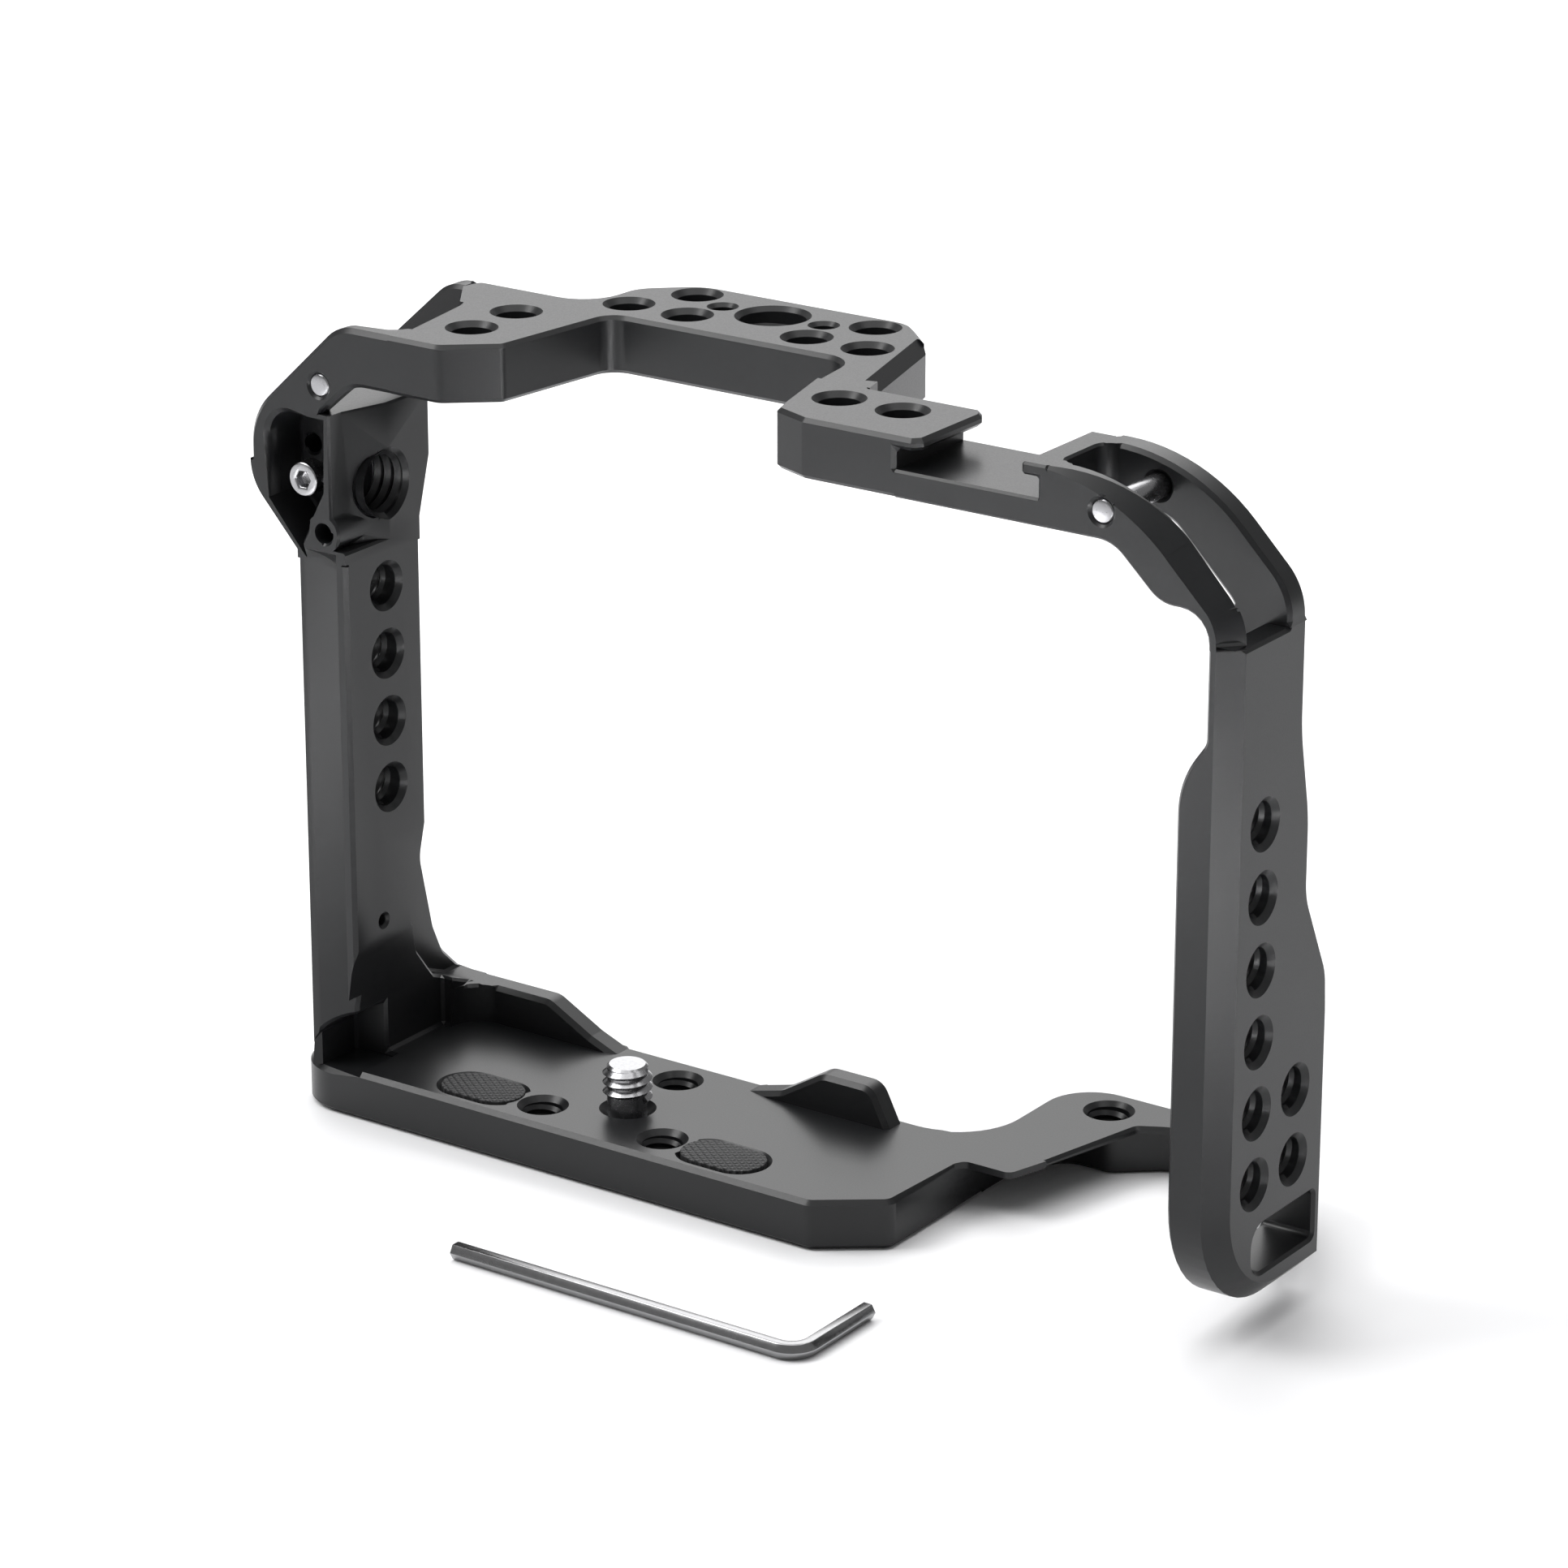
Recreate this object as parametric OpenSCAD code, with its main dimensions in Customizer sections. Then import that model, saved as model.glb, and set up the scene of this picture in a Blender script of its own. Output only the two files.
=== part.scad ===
// Full camera cage: a machined frame round a camera body, with its tripod screw, strap pins,
// cable-lug screw, rubber pads and the loose hex key. The origin is the tripod screw's axis at
// the top face of the base plate; +X runs along the base to the hand grip side, +Y towards the
// lens and +Z up. The near faces are those on the side of the camera's screen.

/* [Frame] */
// Distance from the tripod screw's axis back to the near faces
near_reach = 10.75; // [10:0.25:13]
// Clear height of the camera bay, from the base plate to the top plate
bay_h = 91.6; // [88:0.2:98]
// Thickness of the top plate and the shoe block
plate_t = 7.35; // [6.5:0.25:9]
// Thickness of the base plate
base_t = 6.5; // [5.5:0.25:8]
// Distance from the screw axis to the left column's outer face
left_reach = 42.5; // [41.5:0.5:46]
// Distance from the screw axis to the right column's outer face
right_reach = 92.9; // [91:0.5:98]

/* [Columns] */
// Thickness of the left column across the cage
left_column_t = 7.7; // [6.9:0.1:8.5]
// Depth of the left column from its near face
left_column_depth = 14.8; // [14:0.1:16]
// Thickness of the right column across the cage
right_column_t = 7.1; // [6.6:0.1:8]
// Depth of the right column at its foot
right_foot_depth = 23.65; // [22.5:0.25:26]
// Width of the bevel round the grip side
grip_bevel = 2.5; // [1.5:0.25:2.5]

/* [Base plate] */
// Depth of the base plate from its near face to its far face
base_depth = 26.95; // [25:0.25:30]
// Overhang of the base plate past the left column's outer face
base_overhang = 4.2; // [2.5:0.1:7.5]
// Reach of the base plate to the right of the screw axis
base_right = 43.4; // [42:0.4:46]
// Height of the lips that stop the camera body turning
lip_h = 5.15; // [4:0.25:7]
// Thickness of the lips
lip_t = 3.5; // [2.5:0.25:4.5]

/* [Screw holes] */
// Bore of the quarter-inch accessory holes
accessory_d = 5.2; // [5:0.1:5.6]
// Mouth of the countersink round an accessory hole
accessory_mouth_d = 6.6; // [6.4:0.1:7]
// Spacing of the accessory holes in a row
hole_pitch = 8.95; // [8.5:0.05:9.5]
// Bore of the two large locating holes for monitors and microphones
large_d = 8.4; // [8:0.1:8.8]
// Mouth of the countersink round a large hole
large_mouth_d = 9.6; // [9.4:0.1:11]

/* [Fittings] */
// Outer diameter of the tripod screw's thread
screw_d = 6.35; // [6:0.05:6.5]
// Height of the tripod screw above the base plate
screw_rise = 6.1; // [5:0.2:7.5]
// Diameter of the tripod screw's head
screw_head_d = 12.4; // [11:0.2:14]
// Diameter of the strap pins
pin_d = 3; // [2:0.1:3]
// Diameter of the lug screw's shank
lug_screw_d = 2.5; // [2:0.1:3]
// Diameter of the lug screw's head
lug_head_d = 4.4; // [4:0.1:5]
// Length of a rubber pad
pad_l = 11.7; // [10:0.1:13]
// Width of a rubber pad
pad_w = 7; // [6:0.1:8]
// Size of the hex key across its flats
key_af = 2; // [1.5:0.1:2.5]
// Length of the hex key's long arm
key_long = 51.9; // [40:0.5:60]
// Length of the hex key's short arm
key_short = 15.8; // [12:0.2:20]

/* [Hidden] */
// Round faces and the steps of a rounded corner
$fn = 64;
corner_steps = 6;
large_round_r = 6;
// How far a cut runs past the face it opens
overrun = 1;
root2 = sqrt(2);

// Main levels and faces
near_y = -near_reach;
base_far_y = near_y + base_depth;
base_left = left_reach + base_overhang;
base_bottom_z = -base_t;
plate_z = bay_h;
top_z = bay_h + plate_t;
left_x = -left_reach;
left_inner_x = left_x + left_column_t;
right_x = right_reach;
right_inner_x = right_x - right_column_t;

// Base plate: corners, the low strip under the left column and the thin grip ledge
base_near_corner_r = 7.2;
base_facet_r = 2;
base_far_corner_r = 3;
chamfer_run_x = 8.2;
chamfer_run_y = 6.05;
foot_step_h = 0.6;
ledge_t = 0.9;
ledge_near_y = 9.1;
ledge_tip_y = 10.5;
ledge_tip_out = 7.2;
ledge_start_out = 0.7;
ledge_far_out = 8.9;
ledge_r = 1.2;

// Holes of the base plate round the tripod screw
ring_r = 10.8;
ring_angles = [90, 210, 330];
screw_hole_mouth_d = 7.3;
screw_neck_d = 5;
screw_neck_clearance = 0.08;
screw_bore_d = screw_neck_d + screw_neck_clearance + screw_neck_clearance;
head_pocket_clearance = 0.3;
head_t = 3;
thread_start = 2.3;
thread_chamfer = 0.6;
slot_w = 1.6;
slot_depth = 1.4;
pad_t = 1.5;
pad_pocket_depth = 1.3;
pad_x = 18.8;
pad_y = -5.5;
pad_fit = 0.05;

// Lips on the base plate
left_lip_flat_x = -22.3;
left_lip_toe_x = -11.5;
left_lip_slope_x = -15.6;
left_lip_slope_z = 1.6;
right_lip_toe_x = 9.5;
right_lip_slope_x = 14.6;
right_lip_slope_z = 1.3;
right_lip_flat_x = 20.9;
right_lip_flat_end_x = 28.4;
right_lip_end_x = 31;
lip_r = 3;
lip_end_r = 2.4;

// Grip arm, from the base plate round to the right column's foot
arm_neck_x = 42;
arm_neck_r = 9;
arm_far_y = 39.4;
arm_far_r = 7;
arm_far_x = 66;
arm_far_turn_r = 14;
arm_elbow_x = 81;
arm_elbow_y = 32;
arm_elbow_r = 10;
arm_end_in = 2.5;
arm_ledge_x = 55.9;
arm_ledge_y = 31.7;
arm_bulge_x = 60.5;
arm_bulge_y = 34.2;
arm_bulge_r = 5;
arm_near_x = 70;
arm_near_y = 31.5;
arm_near_r = 8;
arm_near_turn_x = 77;
arm_near_turn_y = 26;
arm_rib_far_y = 25;
arm_rib_x = 47.4;
arm_rib_y = 29.8;
arm_rib_out_x = 53;
arm_rib_r = 3;
arm_band_x = 59;
arm_band_y = 34.8;
arm_rise_x = 74;
arm_rise_run = 6;
arm_rise = 4.3;
arm_hole_x = 50.3;
arm_hole_y = 34.1;
arm_hole_d = 5.4;

// Left column: plan corners, holes and the gusset at its foot
left_rib_w = 1.35;
left_edge_w = 1;
left_edge_chamfer = 0.5;
groove_depth = 2.15;
groove_top_drop = 26.3;
groove_top_z = plate_z - groove_top_drop;
groove_end_r = 5;
left_far_y = near_y + left_column_depth;
left_split_drop = 23.6;
left_split_z = plate_z - left_split_drop;
left_hole_y = -2.85;
left_hole_drop = 54.85;
left_hole_z = plate_z - left_hole_drop;
left_hole_count = 4;
left_small_hole_y = -5;
left_small_hole_share = 0.5224;
left_small_hole_z = left_hole_z * left_small_hole_share;
left_small_hole_d = 1.5;
gusset_top_z = 25;
gusset_bend_y = 9.2;
gusset_bend_z = 13.2;
gusset_low_y = 12;
gusset_low_z = 8.8;
gusset_r = 6;
relief_top_z = 30;
relief_near_y = -4.9;
relief_mid_y = 3.1;
relief_mid_z = 12.1;
relief_foot_y = 7.2;
relief_foot_z = 7.4;
relief_slope = 0.188;
undercut_in = 7.5;
undercut_x = left_x + undercut_in;
undercut_z = -1;
undercut_r = 8.2;
undercut_depth = 7.75;
undercut_wall_t = 0.9;
foot_cove_z = 16.5;
foot_cove_mid_z = 13.5;
foot_cove_low_z = 8;
foot_cove = 1.7;
foot_fillet_r = 4;

// Left strap corner: one outer outline for the walls and the block between them
strap_wall_t = 2.45;
left_slot_far_y = 13.1;
left_strap_far_y = 16.3;
corner_top_in = 7.15;
corner_top_x = left_x + corner_top_in;
corner_top_r = 6;
corner_side_out = 7.2;
corner_side_x = left_x - corner_side_out;
corner_side_drop = 6.2;
corner_side_z = plate_z - corner_side_drop;
corner_side_r = 9;
corner_low_drop = 14.6;
corner_low_z = plate_z - corner_low_drop;
corner_low_r = 7;
corner_foot_drop = 22.5;
corner_foot_z = plate_z - corner_foot_drop;
left_slot_end_in = 15.2;
left_slot_end_x = left_x + left_slot_end_in;
left_slot_end_r = 1.8;
left_slot_floor_drop = 4.4;
left_slot_floor_z = plate_z - left_slot_floor_drop;
window_out = 4.4;
window_x = left_x - window_out;
window_low_drop = 16.5;
window_low_z = plate_z - window_low_drop;
window_top_drop = 5;
window_top_z = plate_z - window_top_drop;
window_r = 3.5;
window_step_in = 3.4;
window_step_x = left_x + window_step_in;
window_step_r = 4;
window_rise_in = 9.2;
window_rise_x = left_x + window_rise_in;
window_rise_r = 5;
strip_tip_out = 3.9;
strip_tip_x = left_x - strip_tip_out;
strip_tip_drop = 18.2;
strip_tip_z = plate_z - strip_tip_drop;
far_corner_in = 5.6;
far_corner_x = left_x + far_corner_in;
far_corner_r = 5;
far_corner_drop = 4.1;
far_corner_z = plate_z - far_corner_drop;
far_inner_out = 1.7;
far_inner_x = left_x - far_inner_out;
far_inner_drop = 7.1;
far_inner_z = plate_z - far_inner_drop;

// Block between the strap walls: pocket, recess, boss and holes
lug_far_y = 6.5;
lug_flare_low_drop = 20.6;
lug_flare_low_z = plate_z - lug_flare_low_drop;
lug_flare_top_drop = 13;
lug_flare_top_z = plate_z - lug_flare_top_drop;
lug_back_low_drop = 21.6;
lug_back_low_z = plate_z - lug_back_low_drop;
lug_back_top_drop = 10.6;
lug_back_top_z = plate_z - lug_back_top_drop;
pocket_floor_y = -4;
pocket_wall_in = 4.5;
pocket_wall_x = left_x + pocket_wall_in;
pocket_toe_in = 0.6;
pocket_toe_x = left_x + pocket_toe_in;
pocket_toe_drop = 22.4;
pocket_toe_z = plate_z - pocket_toe_drop;
pocket_tip_in = 1.6;
pocket_tip_x = left_x + pocket_tip_in;
pocket_tip_drop = 23.5;
pocket_tip_z = plate_z - pocket_tip_drop;
gusset_face_in = 0.9;
gusset_face_x = left_x + gusset_face_in;
gusset_face_drop = 21.3;
gusset_face_z = plate_z - gusset_face_drop;
gusset_head_drop = 14.5;
gusset_head_z = plate_z - gusset_head_drop;
recess_in = 5.6;
recess_x = left_x + recess_in;
recess_floor_drop = 21.8;
recess_floor_z = plate_z - recess_floor_drop;
recess_far_y = -1.9;
recess_flat = 2.4;
boss_in = 4.25;
boss_x = left_x + boss_in;
boss_drop = 19.76;
boss_z = plate_z - boss_drop;
boss_r = 2.5;
boss_hole_d = 2.7;
boss_hole_depth = 10;
lug_screw_in = 0.9;
lug_screw_x = left_x + lug_screw_in;
lug_screw_drop = 13.4;
lug_screw_z = plate_z - lug_screw_drop;
lug_head_t = 2.5;
lug_head_setback = 0.3;
lug_screw_l = 12;
lug_end_gap = 1;
lug_screw_fit = 0.05;
lug_bore_d = lug_screw_d + lug_screw_fit + lug_screw_fit;
lug_head_y = near_y + lug_head_setback;
lug_head_far_y = lug_head_y + lug_head_t;
lug_socket_af = 2;
lug_socket_depth = 1.3;
lug_tap_out = 2.7;
lug_tap_x = left_x - lug_tap_out;
lug_tap_drop = 10.9;
lug_tap_z = plate_z - lug_tap_drop;
lug_tap_d = 2.5;
lug_tap_depth = 5;
left_large_y = -2.56;
left_large_drop = 14.8;
left_large_z = plate_z - left_large_drop;
left_large_depth = 5.2;

// Strap pins: their places and their fit
left_pin_in = 4.1;
left_pin_x = left_x + left_pin_in;
left_pin_drop = 0.7;
left_pin_z = plate_z - left_pin_drop;
right_pin_x = 75.05;
right_pin_rise = 3.27;
right_pin_z = plate_z + right_pin_rise;
pin_fit = 0.02;
pin_setback = 0.15;
pin_hole_chamfer = 0.35;

// Top plate outline
plate_corner_share = 0.4635;
plate_corner_x = left_x * plate_corner_share;
plate_corner_r = 2.5;
plate_recess_near_share = 0.3153;
plate_recess_near_x = left_x * plate_recess_near_share;
plate_recess_near_y = -5.6;
plate_recess_share = 0.2588;
plate_recess_x = left_x * plate_recess_share;
plate_recess_y = 13;
plate_recess_r = 2.6;
plate_neck_x = 25.3;
plate_neck_r = 4.2;
plate_near_far_in = 8.3;
plate_near_far_x = left_x + plate_near_far_in;
plate_left_far_y = 16.3;
plate_left_far_r = 1.2;
plate_slot_bend_in = 13.1;
plate_slot_bend_x = left_x + plate_slot_bend_in;
plate_slot_bend_y = 6.2;
plate_waist_x = -16.1;
plate_waist_y = 25;
plate_waist_r = 5;
plate_far_y = 30.7;
plate_far_left_x = -9.6;
plate_far_left_r = 7;
plate_far_right_x = 21.6;
plate_far_right_r = 5;
plate_right_y = 24.6;
plate_right_x = 27.9;
plate_right_r = 1.2;
plate_neck_out_x = 33.5;
neck_bevel = 1.55;
neck_bevel_near_y = 6.95;

// Holes of the top plate, set out from the middle of the far pattern
pattern_x = 5.7;
plate_row_near_y = 18.3;
plate_row_far_y = 26.6;
plate_large_y = 23.9;
pin_hole_offset = 7.6;
pin_hole_d = 3;
left_pair_in = 21.1;
left_pair_x = left_x + left_pair_in;
left_pair_y = -1.6;
shoe_pair_x = 33;
shoe_pair_y = -1.4;

// Shoe block, shoe bar and the T-slot between their lips
shoe_far_y = 4.2;
shoe_corner_x = 29.2;
shoe_corner_y = -8.9;
shoe_corner_r = 1.2;
shoe_corner_run = 5;
shoe_side_x = 28.3;
shoe_side_y = -6.25;
shoe_lip_t = 1.5;
shoe_lip_r = 1.1;
shoe_left_lip_x = 50.4;
shoe_left_wall_x = 47.06;
shoe_right_wall_x = 66.55;
shoe_right_lip_x = 64.3;
shoe_bar_t = 3.35;
shoe_floor_z = plate_z + shoe_bar_t;
shoe_lip_far_y = 2.5;

// Right strap corner
right_slot_x = 67.8;
right_slot_end_r = 2;
right_slot_floor_drop = 10.4;
right_slot_floor_z = plate_z - right_slot_floor_drop;
right_slot_far_y = 1.5;
right_upper_far_y = 5.2;
grip_round_r = 24;
grip_round_x = 79.14;
grip_shoulder_drop = 6.45;
grip_shoulder_z = plate_z - grip_shoulder_drop;
grip_shoulder_r = 8;
bevel_round_x = 64.8;
bevel_round_drop = 19.5;
bevel_round_z = plate_z - bevel_round_drop;
grip_inner_top_in = 9.4;
grip_inner_top_x = right_inner_x - grip_inner_top_in;
grip_inner_top_r = 5;
grip_inner_step_in = 2.95;
grip_inner_step_x = right_inner_x - grip_inner_step_in;
grip_inner_step_drop = 6.1;
grip_inner_step_z = plate_z - grip_inner_step_drop;
grip_inner_step_r = 4.5;
grip_inner_corner_r = 3.8;
grip_thin_t = 3.55;
grip_swell_top_drop = 21.6;
grip_swell_top_z = plate_z - grip_swell_top_drop;
grip_swell_low_drop = 26.7;
grip_swell_low_z = plate_z - grip_swell_low_drop;
grip_swell_top_r = 2;
grip_swell_low_r = 12;

// Right column: far profile, foot and holes
grip_waist_y = 7.4;
grip_waist_top_drop = 23.6;
grip_waist_top_z = plate_z - grip_waist_top_drop;
grip_waist_high_drop = 34.6;
grip_waist_high_z = plate_z - grip_waist_high_drop;
grip_waist_low_drop = 44.6;
grip_waist_low_z = plate_z - grip_waist_low_drop;
grip_flare_y = 12.6;
grip_flare_drop = 55.6;
grip_flare_z = plate_z - grip_flare_drop;
grip_foot_drop = 60.6;
grip_foot_z = plate_z - grip_foot_drop;
grip_foot_r = 14.65;
grip_foot_y = near_y + grip_foot_r;
grip_foot_round_z = 12.1;
grip_foot_bottom_z = grip_foot_round_z - grip_foot_r;
grip_foot_far_y = near_y + right_foot_depth;
grip_foot_far_r = 2;
grip_hole_y = -2.85;
grip_hole_z = 14.15;
grip_hole_count = 6;
grip_hole_far_y = 6.05;
grip_hole_far_count = 2;
strap_slot_near_y = -2.8;
strap_slot_far_y = 11.4;
strap_slot_low_z = 2.1;
strap_slot_top_z = 8.3;
strap_slot_r = 2.4;

// Hex key, lying on the surface that the base plate stands on
key_x = 1.2;
key_y = -37;
key_bend = 2;

// Direction from one point to another, one long
function toward(from, to) = (to - from) / norm(to - from);

// Points that round the corner b, between a and c, to its third value
function corner_points(a, b, c) =
  let (
    p = [b[0], b[1]],
    u = toward(p, [a[0], a[1]]),
    v = toward(p, [c[0], c[1]]),
    half = acos(u * v) / 2,
    middle = toward([0, 0], u + v),
    centre = p + middle * b[2] / sin(half),
    sweep = 90 - half,
    side = u[0] * v[1] - u[1] * v[0] > 0 ? 1 : -1,
    steps = b[2] > large_round_r ? 2 * corner_steps : corner_steps
  )
  b[2] == 0 ? [p] : [
    for (i = [-steps:2:steps])
      let (turn = -side * sweep * i / steps, out = -middle)
      centre + b[2] * [
        out[0] * cos(turn) - out[1] * sin(turn),
        out[0] * sin(turn) + out[1] * cos(turn)
      ]
  ];

// Outline with each corner rounded by its own radius
function rounded(corners) =
  let (n = len(corners))
  [
    for (i = [0:n - 1])
      each corner_points(corners[(i + n - 1) % n], corners[i], corners[(i + 1) % n])
  ];

// Extrudes an outline drawn in X and Z along Y
module along_y(from, to) {
  translate([0, to, 0]) rotate([90, 0, 0]) linear_extrude(to - from) children();
}

// Extrudes an outline drawn in Y and Z along X
module along_x(from, to) {
  translate([from, 0, 0]) rotate([90, 0, 90]) linear_extrude(to - from) children();
}

// Extrudes an outline drawn in X and Y along Z
module along_z(from, to) {
  translate([0, 0, from]) linear_extrude(to - from) children();
}

// Round cut along Z, Y or X between two places
module drill_z(x, y, d, from, to) {
  translate([x, y, from]) cylinder(d = d, h = to - from);
}

module drill_y(x, z, d, from, to) {
  translate([x, to, z]) rotate([90, 0, 0]) cylinder(d = d, h = to - from);
}

module drill_x(y, z, d, from, to) {
  translate([from, y, z]) rotate([0, 90, 0]) cylinder(d = d, h = to - from);
}

// Hole down Z with its mouth countersunk at the top face
module sunk_hole_z(x, y, d, mouth_d, top, bottom) {
  sink = (mouth_d - d) / 2;
  drill_z(x, y, d, bottom - overrun, top + overrun);
  translate([x, y, top - sink]) cylinder(d1 = d, d2 = mouth_d + overrun + overrun, h = sink + overrun);
}

// Countersink along X, facing +X when side is 1 and -X when it is -1
module sink_x(y, z, d, mouth_d, face_x, side) {
  sink = (mouth_d - d) / 2;
  translate([face_x - side * sink, y, z]) rotate([0, side * 90, 0])
    cylinder(d1 = d, d2 = mouth_d + overrun + overrun, h = sink + overrun);
}

// Accessory hole along X, countersunk at both ends
module sunk_hole_x(y, z, from, to) {
  drill_x(y, z, accessory_d, from - overrun, to + overrun);
  sink_x(y, z, accessory_d, accessory_mouth_d, to, 1);
  sink_x(y, z, accessory_d, accessory_mouth_d, from, -1);
}

// Obround with its long side along X
module obround(length, width) {
  for (side = [-1, 1]) translate([side * (length - width) / 2, 0]) circle(d = width);
  square([length - width, width], center = true);
}

// Base plate
module base_outline() {
  polygon(rounded([
    [-base_left, near_y, base_near_corner_r],
    [base_right - chamfer_run_x, near_y, base_facet_r],
    [base_right, near_y + chamfer_run_y, base_facet_r],
    [base_right, base_far_y, 0],
    [-base_left, base_far_y, base_far_corner_r]
  ]));
}

module ledge_outline() {
  polygon(rounded([
    [base_right - overrun, ledge_near_y, 0],
    [base_right, ledge_near_y, 0],
    [base_right + ledge_start_out, ledge_tip_y, ledge_r],
    [base_right + ledge_tip_out, ledge_tip_y, ledge_r],
    [base_right + ledge_far_out, base_far_y, 0],
    [base_right - overrun, base_far_y, 0]
  ]));
}

module base_plate() {
  head_pocket_d = screw_head_d + head_pocket_clearance + head_pocket_clearance;
  color([0.13, 0.13, 0.14]) difference() {
    union() {
      along_z(base_bottom_z, 0) base_outline();
      along_z(-ledge_t, 0) ledge_outline();
    }
    translate([-base_left - overrun, near_y - overrun, -foot_step_h])
      cube([base_left + left_inner_x + overrun, base_depth + overrun + overrun, base_t]);
    sunk_hole_z(0, 0, screw_bore_d, screw_hole_mouth_d, 0, base_bottom_z);
    drill_z(0, 0, head_pocket_d, base_bottom_z - overrun, base_bottom_z + head_t + head_pocket_clearance);
    for (a = ring_angles)
      sunk_hole_z(ring_r * cos(a), ring_r * sin(a), accessory_d, accessory_mouth_d, 0, base_bottom_z);
    for (side = [-1, 1]) translate([side * pad_x, pad_y])
      along_z(-pad_pocket_depth, overrun) obround(pad_l + pad_fit + pad_fit, pad_w + pad_fit + pad_fit);
  }
}

// Lips that stand on the base plate's far edge
module front_lip_left() {
  color([0.13, 0.13, 0.14]) along_y(base_far_y - lip_t, base_far_y) polygon(rounded([
    [left_inner_x, 0, 0],
    [left_inner_x, lip_h, 0],
    [left_lip_flat_x, lip_h, lip_r],
    [left_lip_slope_x, left_lip_slope_z, lip_r],
    [left_lip_toe_x, 0, 0]
  ]));
}

module front_lip_right() {
  color([0.13, 0.13, 0.14]) along_y(base_far_y - lip_t, base_far_y) polygon(rounded([
    [right_lip_toe_x, 0, 0],
    [right_lip_slope_x, right_lip_slope_z, lip_r],
    [right_lip_flat_x, lip_h, lip_r],
    [right_lip_flat_end_x, lip_h, lip_end_r],
    [right_lip_end_x, 0, 0]
  ]));
}

// Arm that runs from the base plate round the grip to the right column's foot
module arm_outline() {
  polygon(rounded([
    [arm_neck_x - arm_neck_r, base_far_y, 0],
    [base_right + ledge_far_out, base_far_y, 0],
    [arm_ledge_x, arm_ledge_y, ledge_r],
    [arm_bulge_x, arm_bulge_y, arm_bulge_r],
    [arm_near_x, arm_near_y, arm_near_r],
    [arm_near_turn_x, arm_near_turn_y, arm_near_r],
    [right_inner_x, grip_foot_far_y, 0],
    [right_x - arm_end_in, grip_foot_far_y, 0],
    [arm_elbow_x, arm_elbow_y, arm_elbow_r],
    [arm_far_x, arm_far_y, arm_far_turn_r],
    [arm_neck_x, arm_far_y, arm_far_r],
    [arm_neck_x, base_far_y, arm_neck_r]
  ]));
}

// The part under the thin ledge is cut back to a rib that follows the base plate's side
module arm_ledge_cut() {
  polygon(rounded([
    [base_right, base_far_y - overrun, 0],
    [base_right, arm_rib_far_y, arm_rib_r],
    [arm_rib_x, arm_rib_y, arm_rib_r],
    [arm_rib_out_x, arm_rib_y, arm_rib_r],
    [arm_band_x, arm_band_y, arm_rib_r],
    [arm_far_x, arm_band_y - overrun, arm_rib_r],
    [arm_near_x, arm_near_y, 0],
    [arm_near_x, base_far_y - overrun, 0]
  ]));
}

module grip_arm() {
  color([0.13, 0.13, 0.14]) difference() {
    intersection() {
      along_z(base_bottom_z, arm_rise) arm_outline();
      along_y(grip_foot_far_y, arm_far_y) polygon([
        [arm_neck_x - arm_neck_r, base_bottom_z],
        [arm_rise_x, base_bottom_z],
        [arm_rise_x + arm_rise_run, grip_foot_bottom_z],
        [right_x, grip_foot_bottom_z],
        [right_x, arm_rise],
        [arm_rise_x + arm_rise_run, arm_rise],
        [arm_rise_x, 0],
        [arm_neck_x - arm_neck_r, 0]
      ]);
    }
    along_z(base_bottom_z - overrun, -ledge_t) arm_ledge_cut();
    sunk_hole_z(arm_hole_x, arm_hole_y, arm_hole_d, accessory_mouth_d, 0, base_bottom_z);
  }
}

// Left column with the gusset at its foot
module left_column_plan() {
  polygon([
    [left_x, near_y],
    [left_inner_x - left_edge_chamfer, near_y],
    [left_inner_x, near_y + left_edge_chamfer],
    [left_inner_x, base_far_y],
    [left_x, base_far_y]
  ]);
}

module left_column_side() {
  polygon(rounded([
    [near_y, -foot_step_h, 0],
    [base_far_y, -foot_step_h, 0],
    [base_far_y, lip_h, 0],
    [gusset_low_y, gusset_low_z, gusset_r],
    [gusset_bend_y, gusset_bend_z, gusset_r],
    [left_far_y, gusset_top_z, gusset_r],
    [left_far_y, left_split_z, 0],
    [near_y, left_split_z, 0]
  ]));
}

// Slanted groove down the column's near face, its top end a hollow round
module near_groove() {
  rim_x = left_inner_x - left_edge_chamfer - left_edge_w;
  floor_y = near_y + groove_depth;
  intersection() {
    along_z(-foot_step_h - overrun, groove_top_z + groove_end_r) polygon([
      [left_x + left_rib_w, near_y - overrun],
      [left_x + left_rib_w, near_y],
      [rim_x, floor_y],
      [rim_x, near_y - overrun]
    ]);
    union() {
      along_x(left_x, left_inner_x) polygon([
        [near_y - overrun, -foot_step_h - overrun],
        [floor_y + overrun, -foot_step_h - overrun],
        [floor_y + overrun, groove_top_z],
        [near_y - overrun, groove_top_z]
      ]);
      drill_x(floor_y - groove_end_r, groove_top_z, groove_end_r + groove_end_r, left_x, left_inner_x);
    }
  }
}

// Hollow along the foot of the column's inner face
module foot_cove_cut() {
  along_y(near_y - overrun, base_far_y - lip_t - foot_fillet_r) polygon([
    [left_inner_x, foot_cove_z],
    [left_inner_x - foot_cove / 2, foot_cove_mid_z],
    [left_inner_x - foot_cove, foot_cove_low_z],
    [left_inner_x - foot_cove, 0],
    [left_inner_x + overrun, 0],
    [left_inner_x + overrun, foot_cove_z]
  ]);
}

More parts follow.
